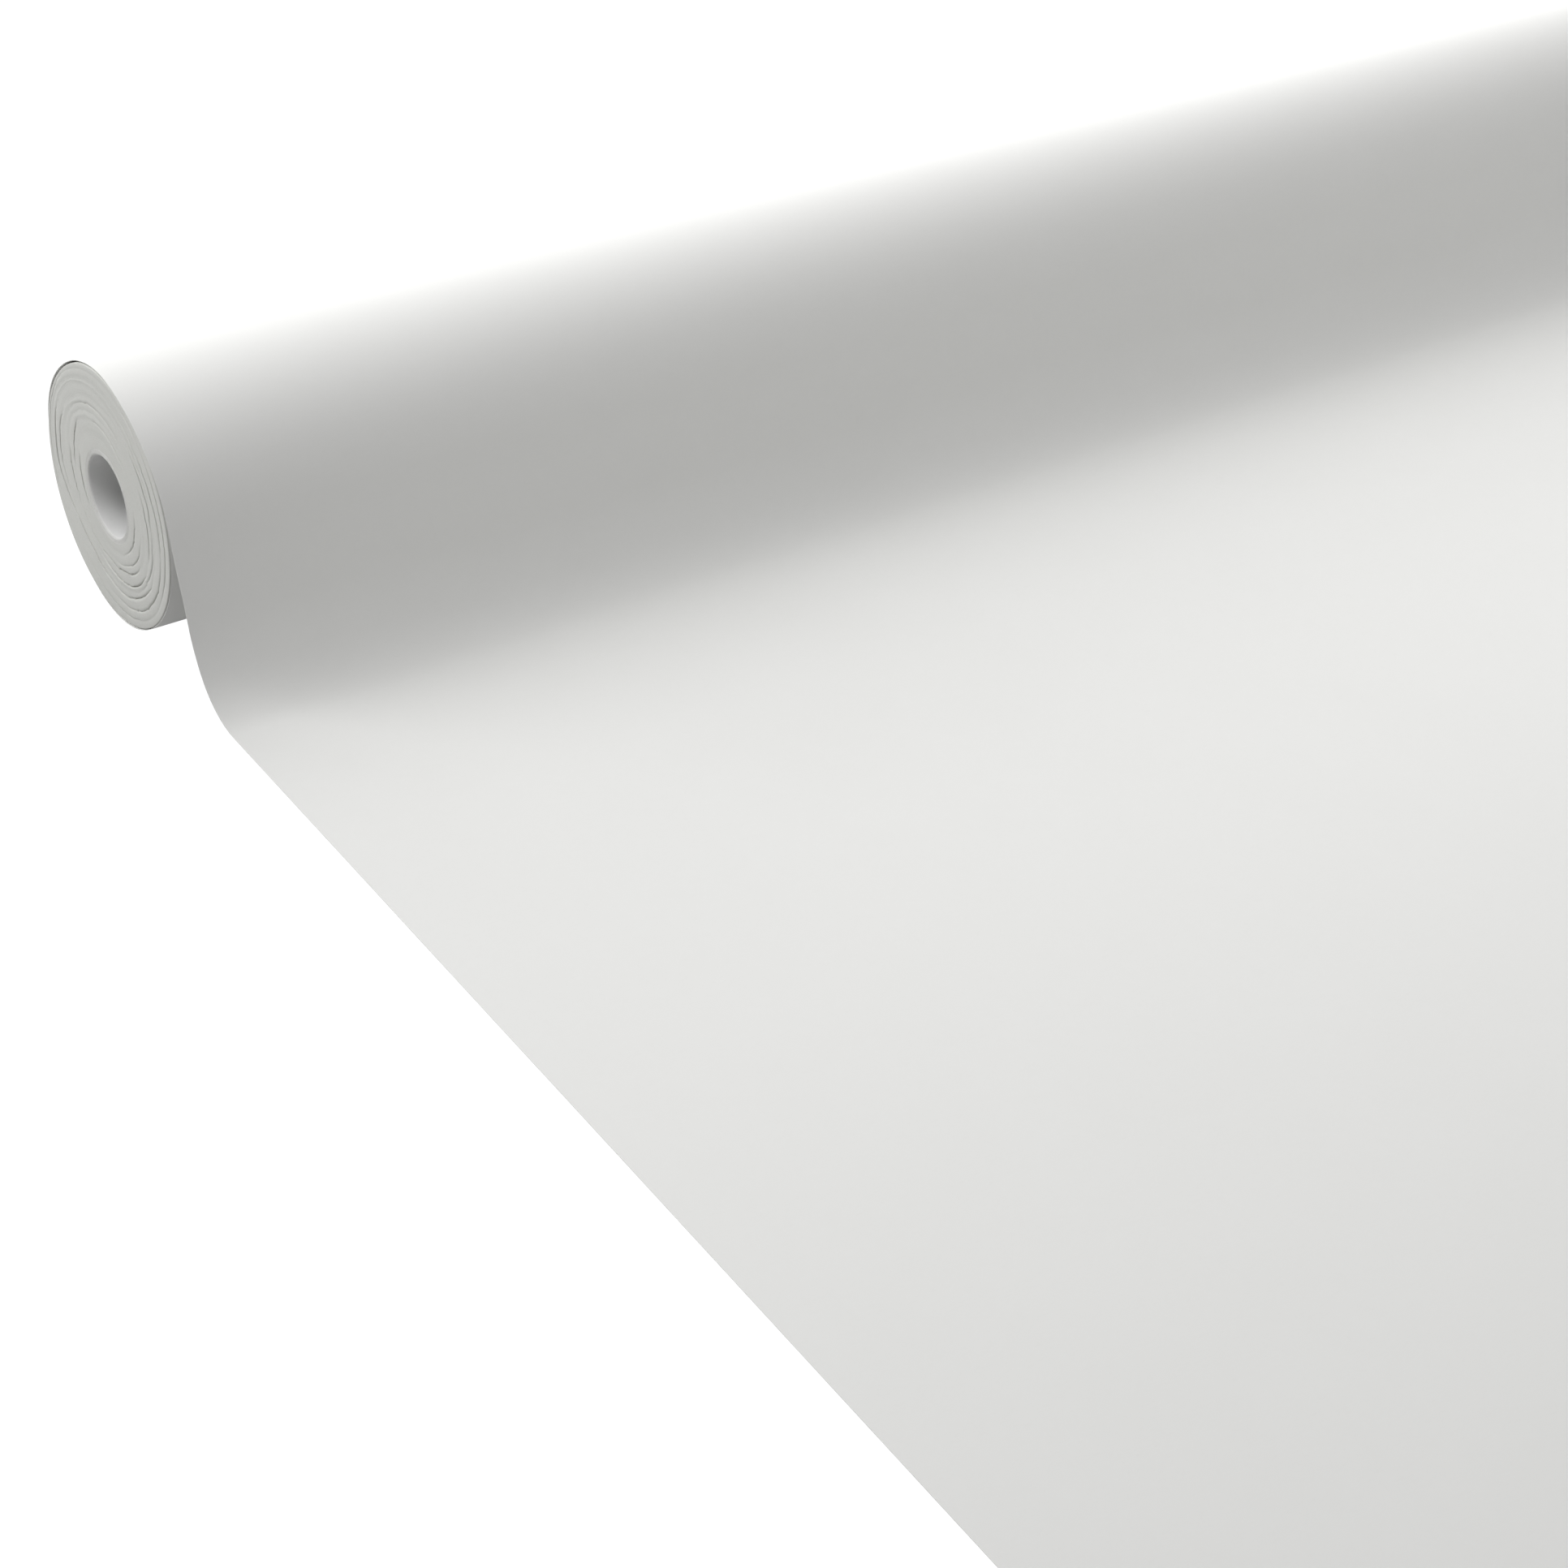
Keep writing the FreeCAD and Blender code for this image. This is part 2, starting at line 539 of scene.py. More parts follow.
@dataclass
class WoundPack:
    """All the turns on the roll, with the uneven spiral edge that its end faces show.

    Attributes:
        sizes: The roll's sizes.
        seed: Seed of the unevenness.
        around: Points round each ring.
        ring_step: Distance between rings on an end face.
        bore_slack: Air between the pack and the core.
        crown: How far a group of turns is crowned between its grooves.
        step_height: Most that a group stands in from the end plane, apart from its slow waves.
        barrel_rows: Rings between the two ends.
        rim_rounding: Radius of the rim's rounding.
        shift: How far the pack stands to one side.
        dent: Bearing and spread in degrees of the shallow flat at the upper back, and its depth.
        wander: Height of the slow waves in a groove's run.
        wander_lobes: Fewest and most of those waves in a turn.
        kinks: Small kinks in a groove's run.
        full_shade: Depth of a gap at which its painted shade is full.
        valley: A groove's section: places across it, in half widths, and shares of its depth.
        left_grooves: The gaps on the left end.
        right_grooves: The gaps on the right end.
    """

    sizes: RollSizes
    seed: int = 23
    around: int = 540
    ring_step: float = 0.9 * MM
    bore_slack: float = 0.16 * MM
    crown: float = 0.12 * MM
    step_height: float = 0.16 * MM
    barrel_rows: int = 10
    rim_rounding: float = 0.7 * MM
    shift: float = -1.1 * MM
    dent: tuple[float, float, float] = (130.0, 38.0, 0.75 * MM)
    wander: float = 0.45 * MM
    wander_lobes: tuple[int, int] = (3, 11)
    kinks: int = 110
    full_shade: float = 2.6 * MM
    valley: tuple[tuple[float, float], ...] = (
        (-0.6, 0.35),
        (-0.25, 0.85),
        (0.0, 1.0),
        (0.25, 0.85),
        (0.6, 0.35),
    )
    left_grooves: tuple[Groove, ...] = (
        Groove(
            ((3, 0.135), (99, 0.160), (140, 0.200), (194, 0.115), (225, 0.080), (300, 0.125)),
            ((192, 34, 2.4), (338, 46, 0.7)),
        ),
        Groove(
            ((20, 0.285), (61, 0.235), (137, 0.390), (163, 0.305), (243, 0.185), (323, 0.290)),
            ((160, 26, 2.4), (320, 44, 0.6), (75, 44, 0.6)),
            0.60,
        ),
        Groove(
            ((10, 0.375), (70, 0.335), (140, 0.480), (212, 0.330), (270, 0.285), (314, 0.380)),
            ((285, 46, 2.1), (193, 30, 2.0), (245, 40, 1.8)),
        ),
        Groove(
            ((19, 0.460), (61, 0.420), (145, 0.590), (188, 0.560),
             (243, 0.365), (299, 0.490), (330, 0.520)),
            ((292, 46, 1.7), (8, 30, 2.6), (100, 50, 0.4)),
        ),
        Groove(
            ((31, 0.585), (90, 0.570), (165, 0.690), (188, 0.650),
             (232, 0.440), (270, 0.495), (315, 0.580)),
            ((31, 30, 3.2), (178, 32, 1.6), (345, 40, 0.5)),
            0.75,
            0.36,
        ),
        Groove(
            ((60, 0.650), (154, 0.825), (190, 0.780), (221, 0.555),
             (243, 0.520), (283, 0.635), (332, 0.665)),
            ((192, 44, 2.4), (240, 46, 2.2), (302, 40, 1.1), (45, 30, 1.4)),
        ),
        Groove(
            ((52, 0.735), (154, 0.885), (188, 0.850), (225, 0.700),
             (243, 0.685), (299, 0.790), (334, 0.800)),
            ((318, 60, 0.8), (30, 42, 2.2)),
        ),
        Groove(
            ((60, 0.900), (160, 0.945), (200, 0.910), (245, 0.800), (290, 0.895)),
            ((268, 34, 1.6), (175, 45, 0.9), (20, 60, 1.2)),
            0.50,
            0.12,
        ),
    )
    right_grooves: tuple[Groove, ...] = (
        Groove(((90, 0.14), (270, 0.17)), ((240, 60, 0.60), (20, 40, 0.40))),
        Groove(((60, 0.31), (170, 0.26), (280, 0.33)), ((255, 70, 0.90), (130, 40, 0.40))),
        Groove(((20, 0.47), (140, 0.42), (260, 0.50)), ((260, 80, 0.80), (175, 30, 1.20))),
        Groove(((40, 0.60), (120, 0.58), (250, 0.64)), ((250, 80, 0.90), (60, 40, 1.20))),
        Groove(((10, 0.74), (170, 0.79), (230, 0.76)), ((265, 75, 0.90), (170, 40, 1.00))),
        Groove(((70, 0.89), (190, 0.92), (300, 0.88)), ((255, 70, 0.70), (350, 40, 0.60)), 0.50, 0.12),
    )

    def build(self) -> bpy.types.Object:
        """Make the pack's mesh and set it on the roll's body.

        Returns:
            The wound paper.
        """
        bearing = np.linspace(0, 2 * math.pi, self.around, endpoint=False)
        left = self._end_face(RollEnd.LEFT, self.left_grooves, bearing)
        right = self._end_face(RollEnd.RIGHT, self.right_grooves, bearing)
        rows = [*left, *self._barrel(left[-1], right[-1], 0.0), *right[::-1]]
        rows += self._barrel(right[0], left[0], self.bore_slack)
        grid = np.stack(rows)
        x, radius = grid[:, 0], grid[:, 1]
        points = np.stack([x, -radius * np.cos(bearing), radius * np.sin(bearing)], axis=2)
        numbers = np.arange(x.size).reshape(x.shape)
        faces = grid_faces(numbers, wrap_rows=True, wrap_columns=True)
        made = mesh_object("wound_pack", points.reshape(-1, 3), faces, sharp=55.0)
        # Painted shade: store each point's groove depth, which darkens the colour in the gaps.
        shade = made.data.attributes.new(PAINTED_GAP_SHADE, "FLOAT", "POINT")
        shade.data.foreach_set("value", np.clip(grid[:, 2], 0.0, 1.0).ravel())
        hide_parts("wound_paper")
        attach(made, "roll")
        return made

    def _barrel(self, start: np.ndarray, end: np.ndarray, slack: float) -> list[np.ndarray]:
        """Rows between two end rings, without the rings themselves.

        Args:
            start: The ring that the rows follow.
            end: The ring that they lead to.
            slack: How much wider than the rings the rows are.

        Returns:
            Rings between the two.
        """
        shares = np.linspace(0.0, 1.0, self.barrel_rows + 2)[1:-1]
        wider = np.array([0.0, slack, 0.0])[:, None]
        return [start + share * (end - start) + wider for share in shares]

    def _end_face(
        self, end: RollEnd, grooves: tuple[Groove, ...], bearing: np.ndarray
    ) -> list[np.ndarray]:
        """Make one end face, ring by ring, from the core to the rim.

        Args:
            end: Which end of the roll.
            grooves: The gaps between its groups of turns.
            bearing: The bearings round the axis, in radians.

        Returns:
            Rings, each with a row of X, of radius and of painted shade in the gaps, one value for every
            bearing.
        """
        rng = np.random.default_rng(self.seed + end.value)
        flush = self.sizes.left if end is RollEnd.LEFT else self.sizes.right
        plane = flush + self.shift
        lines = [self._line(rng, groove, bearing) for groove in grooves]
        steps = [self._stand_out(rng, bearing) for _ in range(len(grooves) + 1)]
        rings: list[np.ndarray] = []
        inner = np.full_like(bearing, self.sizes.core_radius)
        for groove, line, below, above in zip(grooves, lines, steps, steps[1:]):
            half = groove.half_width * MM
            depth = groove.depth(bearing)
            self._group(rings, inner, line - half, below)
            for offset, share in self.valley:
                level = below + (above - below) * (offset + 1.0) / 2.0 - depth * share
                # The third row is painted shade, deeper in the middle of the groove.
                rings.append(np.stack([level, line + offset * half, depth * share / self.full_shade]))
            inner = line + half
        rim = self.sizes.pack_radius - swell(bearing, self.dent)
        soft = self.rim_rounding
        self._group(rings, inner, rim - soft, steps[-1])
        for slope in np.linspace(0.0, math.pi / 2, 7)[1:]:
            drop = soft * (1.0 - math.cos(slope))
            grown = soft * math.sin(slope)
            rings.append(np.stack([steps[-1] - drop, rim - soft + grown, np.zeros_like(bearing)]))
        return [self._set_in_place(ring, plane, end) for ring in rings]

    def _set_in_place(self, ring: np.ndarray, plane: float, end: RollEnd) -> np.ndarray:
        """Turn a ring's stand-out into X."""
        return np.stack([plane + end.value * ring[0], ring[1], ring[2]])

    def _group(
        self, rings: list[np.ndarray], inner: np.ndarray, outer: np.ndarray, stand_out: np.ndarray
    ) -> None:
        """Add the rings of one group of turns, slightly crowned between its grooves.

        Args:
            rings: The rings so far, which grow.
            inner: Radius of the group's inner edge at each bearing.
            outer: Radius of its outer edge.
            stand_out: How far it stands out of the end plane.
        """
        count = max(2, math.ceil(float((outer - inner).mean()) / self.ring_step))
        for share in np.linspace(0, 1, count + 1):
            crown = self.crown * math.sin(math.pi * share)
            radius = inner + share * (outer - inner)
            rings.append(np.stack([stand_out + crown, radius, np.zeros_like(inner)]))

    def _line(self, rng: np.random.Generator, groove: Groove, bearing: np.ndarray) -> np.ndarray:
        """Draw a groove's run, with waves and small kinks.

        Args:
            rng: The seeded source of random numbers.
            groove: The groove.
            bearing: Bearings in radians.

        Returns:
            Its radius at each bearing, in metres.
        """
        span = self.sizes.pack_radius - self.sizes.core_radius
        radius = self.sizes.core_radius + groove.place(bearing) * span
        fewest, most = self.wander_lobes
        for lobes in range(fewest, most + 1):
            height = rng.uniform(0.2, 1.0) * self.wander / lobes
            radius += height * np.sin(lobes * bearing + rng.uniform(0, 2 * math.pi))
        places = np.sort(rng.uniform(0, 2 * math.pi, self.kinks))
        kinks = rng.normal(0, groove.jag * MM, self.kinks)
        return radius + np.interp(bearing, places, kinks, period=2 * math.pi)

    def _stand_out(self, rng: np.random.Generator, bearing: np.ndarray) -> np.ndarray:
        """Draw how far a group of turns stands in or out of the end plane.

        Args:
            rng: The seeded source of random numbers.
            bearing: Bearings in radians.

        Returns:
            The distance at each bearing, in metres.
        """
        height = np.full_like(bearing, rng.uniform(-1.0, 0.2))
        for lobes in (1, 2, 3):
            height += rng.uniform(0, 0.35) * np.sin(lobes * bearing + rng.uniform(0, 2 * math.pi))
        return self.step_height * height


# The core ------------------------------------------------------------------------------


@dataclass
class CoreTube:
    """The board core: its liner, its plies and its wrap, each a ring of its own.

    Attributes:
        sizes: The roll's sizes.
        around: Points round each ring.
        shift: How far the core stands to one side.
        lip_rounding: Radius of the mouth's rounding.
        ply_rounding: Softening of each ply's own edges.
        ply_unevenness: How far a ply's end waves in and out.
        end_run: Length at each end that takes the waves.
        near_run: Distance from the end of the row of points next to the mouth.
        seed: Seed of the waves.
    """

    sizes: RollSizes
    around: int = 192
    shift: float = -1.1 * MM
    lip_rounding: float = 1.6 * MM
    ply_rounding: float = 0.09 * MM
    ply_unevenness: float = 0.10 * MM
    end_run: float = 20 * MM
    near_run: float = 6 * MM
    seed: int = 5

    def build(self) -> list[bpy.types.Object]:
        """Make every ply, from the bore outwards.

        Returns:
            The plies.
        """
        plies = sorted(n for n in frame["nodes"] if n.startswith("core_ply_"))
        made = []
        inner = self.sizes.bore_radius
        rng = np.random.default_rng(self.seed)
        for node in ["core_liner", *plies, "core_wrap"]:
            outer = outer_radius(node)
            made.append(self._ply(node, inner, outer, rng))
            inner = outer
        return made

    def _recess(self, radius: float) -> float:
        """How far the rounded mouth stands back from the end plane at a radius."""
        left = 1.0 - (radius - self.sizes.bore_radius) / self.lip_rounding
        return self.lip_rounding * (1.0 - math.sqrt(1.0 - max(left, 0.0) ** 2))

    def _profile(self, inner: float, outer: float) -> list[tuple[float, float]]:
        """Draw a ply's section, closed from the last point to the first.

        Args:
            inner: Inner radius.
            outer: Outer radius.

        Returns:
            X and radius of each point.
        """
        half = self.sizes.width / 2
        soft = self.ply_rounding
        far, near = half - self.end_run, half - self.near_run
        mouth = [(far, inner), (near, inner), (half - self._recess(inner) - soft, inner)]
        for share in np.linspace(0.0, 1.0, 5):
            radius = inner + soft + share * (outer - inner - 2 * soft)
            mouth.append((half - self._recess(radius), radius))
        back = half - self._recess(outer) - soft
        mouth += [(back, outer), (near, outer), (far, outer)]
        return mouth + [(-x, radius) for x, radius in mouth[::-1]]

    def _ply(self, node: str, inner: float, outer: float, rng: np.random.Generator) -> bpy.types.Object:
        """Make one ply as a tube with softened ends.

        Args:
            node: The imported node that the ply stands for.
            inner: Inner radius.
            outer: Outer radius.
            rng: The seeded source of random numbers.

        Returns:
            The ply, riding on the roll.
        """
        bearing = np.linspace(0, 2 * math.pi, self.around, endpoint=False)
        wave = np.zeros_like(bearing)
        for lobes in (1, 2, 3, 5):
            wave += rng.uniform(0.2, 1.0) * np.sin(lobes * bearing + rng.uniform(0, 2 * math.pi))
        uneven = self.ply_unevenness * wave / 4
        rows = []
        for x, radius in self._profile(inner, outer):
            near_end = float(ease(np.array((abs(x) - self.sizes.width / 2) / self.end_run + 1)))
            place = x + self.shift + math.copysign(near_end, x) * uneven
            rows.append(np.stack([place, -radius * np.cos(bearing), radius * np.sin(bearing)], axis=1))
        grid = np.stack(rows)
        numbers = np.arange(grid.shape[0] * self.around).reshape(grid.shape[:2])
        faces = grid_faces(numbers, wrap_rows=True, wrap_columns=True)
        made = mesh_object(node.replace("core_", "core_tube_"), grid.reshape(-1, 3), faces, sharp=40.0)
        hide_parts(node)
        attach(made, "roll")
        return made


# Finishes ------------------------------------------------------------------------------


ROUGHNESS_SPREAD = 0.06
Feed = bpy.types.NodeSocket | float | tuple


class Nodes:
    """A short way to lay out and join shader nodes in a material or a group."""

    def __init__(self, tree: bpy.types.NodeTree) -> None:
        """Take the tree that the nodes go into.

        Args:
            tree: A material's tree or a group.
        """
        self.tree = tree

    def add(self, kind: str, feeds: dict | None = None, **values: object) -> bpy.types.Node:
        """Add a node.

        Args:
            kind: The node's type name.
            feeds: What feeds each input, by its name or number: a socket or a plain value.
            **values: Settings of the node itself.

        Returns:
            The node.
        """
        node = self.tree.nodes.new(kind)
        for name, value in values.items():
            setattr(node, name, value)
        for key, value in (feeds or {}).items():
            if isinstance(value, bpy.types.NodeSocket):
                self.tree.links.new(value, node.inputs[key])
            else:
                node.inputs[key].default_value = value
        return node

    def maths(self, operation: str, first: Feed, second: Feed) -> bpy.types.NodeSocket:
        """Add a Math node and return its result."""
        return self.add("ShaderNodeMath", {0: first, 1: second}, operation=operation).outputs[0]

    def noise(self, place: Feed, scale: Feed, detail: float, **more: float) -> bpy.types.NodeSocket:
        """Add a noise texture.

        Args:
            place: Where to read it.
            scale: How fine it is, in cells a metre.
            detail: How many finer layers it has.
            **more: Its roughness or distortion.

        Returns:
            The noise, 0 to 1.
        """
        feeds = {"Vector": place, "Scale": scale, "Detail": detail}
        feeds.update({name.capitalize(): value for name, value in more.items()})
        return self.add("ShaderNodeTexNoise", feeds).outputs[0]

    def ramp(
        self, value: Feed, start: float, end: float, low: float = 0.0, high: float = 1.0
    ) -> bpy.types.NodeSocket:
        """Stretch a value from start..end to low..high.

        Args:
            value: The value.
            start: Value that gives low.
            end: Value that gives high.
            low: First result.
            high: Last result.

        Returns:
            The stretched value.
        """
        feeds = {"Value": value, "From Min": start, "From Max": end, "To Min": low, "To Max": high}
        return self.add("ShaderNodeMapRange", feeds).outputs[0]

    def between(self, share: Feed, first: Feed, second: Feed) -> bpy.types.NodeSocket:
        """Mix two numbers by a share."""
        feeds = {"Factor": share, 2: first, 3: second}
        return self.add("ShaderNodeMix", feeds, data_type="FLOAT").outputs[0]

    def tint(self, share: Feed, first: tuple, second: tuple) -> bpy.types.NodeSocket:
        """Mix two colours by a share."""
        feeds = {"Factor": share, 6: (*first, 1.0), 7: (*second, 1.0)}
        return self.add("ShaderNodeMix", feeds, data_type="RGBA").outputs[2]

    def bump(
        self, height: Feed, distance: float, below: bpy.types.NodeSocket | None = None
    ) -> bpy.types.NodeSocket:
        """Turn a height into a normal.

        Args:
            height: The height, 0 to 1.
            distance: Its full height in metres.
            below: The normal of a coarser bump under it.

        Returns:
            The normal.
        """
        feeds = {"Height": height, "Distance": distance}
        if below:
            feeds["Normal"] = below
        return self.add("ShaderNodeBump", feeds).outputs[0]

    def group(self, name: str) -> bpy.types.Node:
        """Add a shared node group."""
        return self.add("ShaderNodeGroup", node_tree=bpy.data.node_groups[name])

    def object_place(self) -> bpy.types.NodeSocket:
        """Position on the piece, in metres."""
        return self.add("ShaderNodeTexCoord").outputs["Object"]

    def finish(self, shader: bpy.types.Node) -> None:
        """Send a shader to the material's surface."""
        self.add("ShaderNodeOutputMaterial", {"Surface": shader.outputs[0]})


def new_material(name: str) -> tuple[bpy.types.Material, Nodes]:
    """Make a material with an empty node tree.

    Args:
        name: The material's name.

    Returns:
        The material and its nodes.
    """
    made = bpy.data.materials.new(name)
    made.use_nodes = True
    made.node_tree.nodes.clear()
    return made, Nodes(made.node_tree)


def new_group(name: str, inputs: dict[str, float], outputs: tuple[str, ...]) -> tuple[Nodes, dict]:
    """Make a shader node group with its sockets, all of them numbers.

    Args:
        name: The group's name.
        inputs: Default of each number that the group takes, by name.
        outputs: Names of its results.

    Returns:
        The group's nodes and its inputs.
    """
    group = bpy.data.node_groups.new(name, "ShaderNodeTree")
    for key, value in inputs.items():
        socket = group.interface.new_socket(key, in_out="INPUT", socket_type="NodeSocketFloat")
        socket.default_value = value
    for key in outputs:
        group.interface.new_socket(key, in_out="OUTPUT", socket_type="NodeSocketFloat")
    nodes = Nodes(group)
    return nodes, nodes.add("NodeGroupInput").outputs


def make_tooth_group() -> None:
    """Make the paper tooth: fine fibres and fluff, as a height and a fleck mask."""
    inputs = {"Grain Size": 900.0, "Fibre Stretch": 4.0}
    n, given = new_group("paper_tooth", inputs, ("Height", "Fleck"))
    place, size = n.object_place(), given["Grain Size"]
    grain = n.noise(place, size, 3.0, roughness=0.6)
    parts = n.add("ShaderNodeSeparateXYZ", {0: place}).outputs
    stretched = n.maths("DIVIDE", parts[0], given["Fibre Stretch"])
    fibre_place = n.add("ShaderNodeCombineXYZ", {0: stretched, 1: parts[1], 2: parts[2]}).outputs[0]
    fibre = n.noise(fibre_place, size, 2.0, distortion=0.6)
    height = n.between(share=0.5, first=grain, second=fibre)
    fleck = n.ramp(fibre, start=0.56, end=0.72)
    n.add("NodeGroupOutput", {"Height": height, "Fleck": fleck})


def make_clouds_group() -> None:
    """Make the cloudy look-through of a paper web, as a mask about one half."""
    n, given = new_group("paper_clouds", {"Cloud Size": 14.0}, ("Cloud",))
    place, size = n.object_place(), given["Cloud Size"]
    wide = n.noise(place, size, 4.0, roughness=0.55)
    times_finer = 9.0
    close = n.noise(place, n.maths("MULTIPLY", size, times_finer), 2.0)
    cloud = n.between(share=0.35, first=wide, second=close)
    n.add("NodeGroupOutput", {"Cloud": cloud})


def make_turns_group() -> None:
    """Make the fine spiral of paper edges on an end face, as a height and a shade mask."""
    inputs = {"Pitch": 0.31 * MM, "Band Size": 1560.0, "Wander": 0.9 * MM}
    n, given = new_group("turn_edges", inputs, ("Height", "Shade"))
    place = n.object_place()
    parts = n.add("ShaderNodeSeparateXYZ", {0: place}).outputs
    flat = n.add("ShaderNodeCombineXYZ", {1: parts[1], 2: parts[2]}).outputs[0]
    radius = n.add("ShaderNodeVectorMath", {0: flat}, operation="LENGTH").outputs["Value"]
    wander = n.maths("MULTIPLY", n.noise(place, scale=24.0, detail=2.0), given["Wander"])
    wandered = n.maths("ADD", radius, wander)
    turn_share = n.maths("DIVIDE", n.maths("ARCTAN2", parts[2], parts[1]), 2 * math.pi)
    turns = n.maths("ADD", n.maths("DIVIDE", wandered, given["Pitch"]), turn_share)
    ridge = n.maths("PINGPONG", turns, 0.5)
    bands_place = n.add("ShaderNodeCombineXYZ", {0: wandered}).outputs[0]
    bands = n.noise(bands_place, given["Band Size"], 4.0, roughness=0.7)
    height = n.between(share=0.65, first=ridge, second=bands)
    n.add("NodeGroupOutput", {"Height": height, "Shade": bands})


@dataclass(frozen=True)
class Finish:
    """A paper or board finish.

    Attributes:
        name: The material's name.
        light: Colour of the bright parts.
        dark: Colour of the clouds and flecks, and of the painted shade in the gaps between turns.
        cloud: How much of the dark colour the clouds take, 0 to 1.
        fleck: How much of it the fibres take, 0 to 1.
        roughness: Mean roughness.
        tooth: Height of the tooth in metres.
        grain: Fineness of the grain, in grains a metre.
        turns: How much of the dark colour the turn edges take; 0 leaves them out.
        turn_height: Height of the turn edges in metres.
        gaps: How much of the dark colour is painted into the gaps between turns as shade.
        gloss: Strength of the plain reflection, one half being ordinary.
    """

    name: str
    light: tuple[float, float, float]
    dark: tuple[float, float, float]
    cloud: float = 0.3
    fleck: float = 0.15
    roughness: float = 0.85
    tooth: float = 0.02 * MM
    grain: float = 900.0
    turns: float = 0.0
    turn_height: float = 0.12 * MM
    gaps: float = 0.0
    gloss: float = 0.35

    def material(self) -> bpy.types.Material:
        """Build the material from the shared groups.

        Returns:
            The material.
        """
        made, n = new_material(self.name)
        tooth = n.group("paper_tooth")
        tooth.inputs["Grain Size"].default_value = self.grain
        clouds = n.group("paper_clouds")
        mask = n.maths("MULTIPLY", clouds.outputs["Cloud"], self.cloud)
        mask = n.maths("ADD", mask, n.maths("MULTIPLY", tooth.outputs["Fleck"], self.fleck))
        normal = n.bump(tooth.outputs["Height"], self.tooth)
        if self.turns:
            edges = n.group("turn_edges")
            mask = n.maths("ADD", mask, n.maths("MULTIPLY", edges.outputs["Shade"], self.turns))
            normal = n.bump(edges.outputs["Height"], self.turn_height, normal)
        # Painted shade: darken the colour in the gaps between turns, the deeper the darker.
        if self.gaps:
            gap = n.add("ShaderNodeAttribute", attribute_name=PAINTED_GAP_SHADE).outputs["Fac"]
            mask = n.maths("ADD", mask, n.maths("MULTIPLY", gap, self.gaps))
        low = self.roughness - ROUGHNESS_SPREAD
        high = self.roughness + ROUGHNESS_SPREAD
        feeds = {
            "Base Color": n.tint(mask, self.light, self.dark),
            "Roughness": n.ramp(tooth.outputs["Height"], 0.0, 1.0, low, high),
            "Normal": normal,
            "Specular IOR Level": self.gloss,
        }
        n.finish(n.add("ShaderNodeBsdfPrincipled", feeds))
        return made


SHEET_PAPER = Finish(
    "backdrop_paper",
    (0.86, 0.86, 0.845),
    (0.80, 0.80, 0.775),
    cloud=0.30,
    fleck=0.10,
)
EDGE_PAPER = Finish(
    "wound_paper_edges",
    (0.77, 0.775, 0.746),
    (0.54, 0.543, 0.508),
    cloud=0.25,
    fleck=0.20,
    roughness=0.9,
    tooth=0.03 * MM,
    turns=0.5,
    # Painted shade in the gaps between turns.
    gaps=0.9,
)
LINER_PAPER = Finish(
    "core_liner_paper",
    (0.79, 0.79, 0.785),
    (0.68, 0.68, 0.665),
    roughness=0.6,
)
BOARD = Finish(
    "core_board",
    (0.735, 0.737, 0.718),
    (0.54, 0.535, 0.51),
    cloud=0.35,
    fleck=0.35,
    roughness=0.92,
    tooth=0.05 * MM,
    grain=600.0,
)
WRAP_PAPER = Finish(
    "core_wrap_paper",
    (0.75, 0.752, 0.735),
    (0.65, 0.65, 0.63),
    roughness=0.7,
)


@dataclass(frozen=True)
class TapeFinish:
    """The thin double-sided tape that holds the web's first edge.

    Attributes:
        name: The material's name.
        film: Colour of the film.
        bubble: Colour where air is trapped under it.
        roughness: Roughness of the film.
        bubbles: Bubbles in a metre.
        bubble_depth: Height of a bubble in metres.
    """

    name: str = "adhesive_tape"
    film: tuple[float, float, float] = (0.86, 0.84, 0.74)
    bubble: tuple[float, float, float] = (0.93, 0.92, 0.84)
    roughness: float = 0.35
    bubbles: float = 420.0
    bubble_depth: float = 0.02 * MM

    def material(self) -> bpy.types.Material:
        """Build the tape's material: clear film with tiny trapped bubbles.

        Returns:
            The material.
        """
        made, n = new_material(self.name)
        feeds = {"Vector": n.object_place(), "Scale": self.bubbles}
        cells = n.add("ShaderNodeTexVoronoi", feeds).outputs["Distance"]
        covered = n.ramp(cells, start=0.1, end=0.35)
        feeds = {
            "Base Color": n.tint(covered, self.bubble, self.film),
            "Normal": n.bump(covered, self.bubble_depth),
            "Roughness": self.roughness,
        }
        n.finish(n.add("ShaderNodeBsdfPrincipled", feeds))
        return made


# The studio ----------------------------------------------------------------------------


@dataclass(frozen=True)
class SoftBox:
    """A rectangular soft light that looks at a point.

    Attributes:
        name: The light's name.
        place: Where it hangs.
        size: Its width and height.
        power: Watts.
        aim: The point it looks at.
    """

    name: str
    place: tuple[float, float, float]
    size: tuple[float, float]
    power: float
    aim: tuple[float, float, float] = (0.0, -0.25, 0.0)

    def hang(self) -> None:
        """Put the light in the scene, turned towards its point."""
        data = bpy.data.lights.new(self.name, "AREA")
        data.shape = "RECTANGLE"
        data.size, data.size_y = self.size
        data.energy = self.power
        made = bpy.data.objects.new(self.name, data)
        bpy.context.scene.collection.objects.link(made)
        made.location = self.place
        look = Vector(self.aim) - Vector(self.place)
        made.rotation_euler = look.to_track_quat("-Z", "Y").to_euler()


